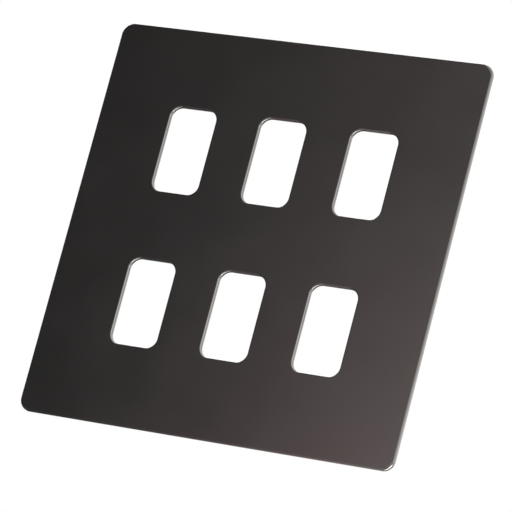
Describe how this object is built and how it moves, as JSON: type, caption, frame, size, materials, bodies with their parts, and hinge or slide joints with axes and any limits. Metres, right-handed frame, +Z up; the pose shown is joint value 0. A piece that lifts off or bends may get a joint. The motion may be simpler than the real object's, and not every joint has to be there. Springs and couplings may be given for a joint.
{
  "type": "grid switch plate",
  "caption": "Square flat cover plate of dark plated metal with rows of upright rounded openings for grid switch modules, on a moulded rear frame that snaps on over a wall box.",
  "frame": {"origin": "centre of the plate, on the wall plane that the clip frame's rim seats on", "axes": "+X to the right and +Z up as seen from the front, front face towards -Y, +Y into the wall"},
  "size_m": [0.146, 0.0105, 0.146],
  "materials": {
    "dark_nickel": "polished",
    "black_moulding": "satin"
  },
  "bodies": {
    "root": {"face_plate": "dark_nickel", "clip_frame": "black_moulding"}
  },
  "joints": []
}
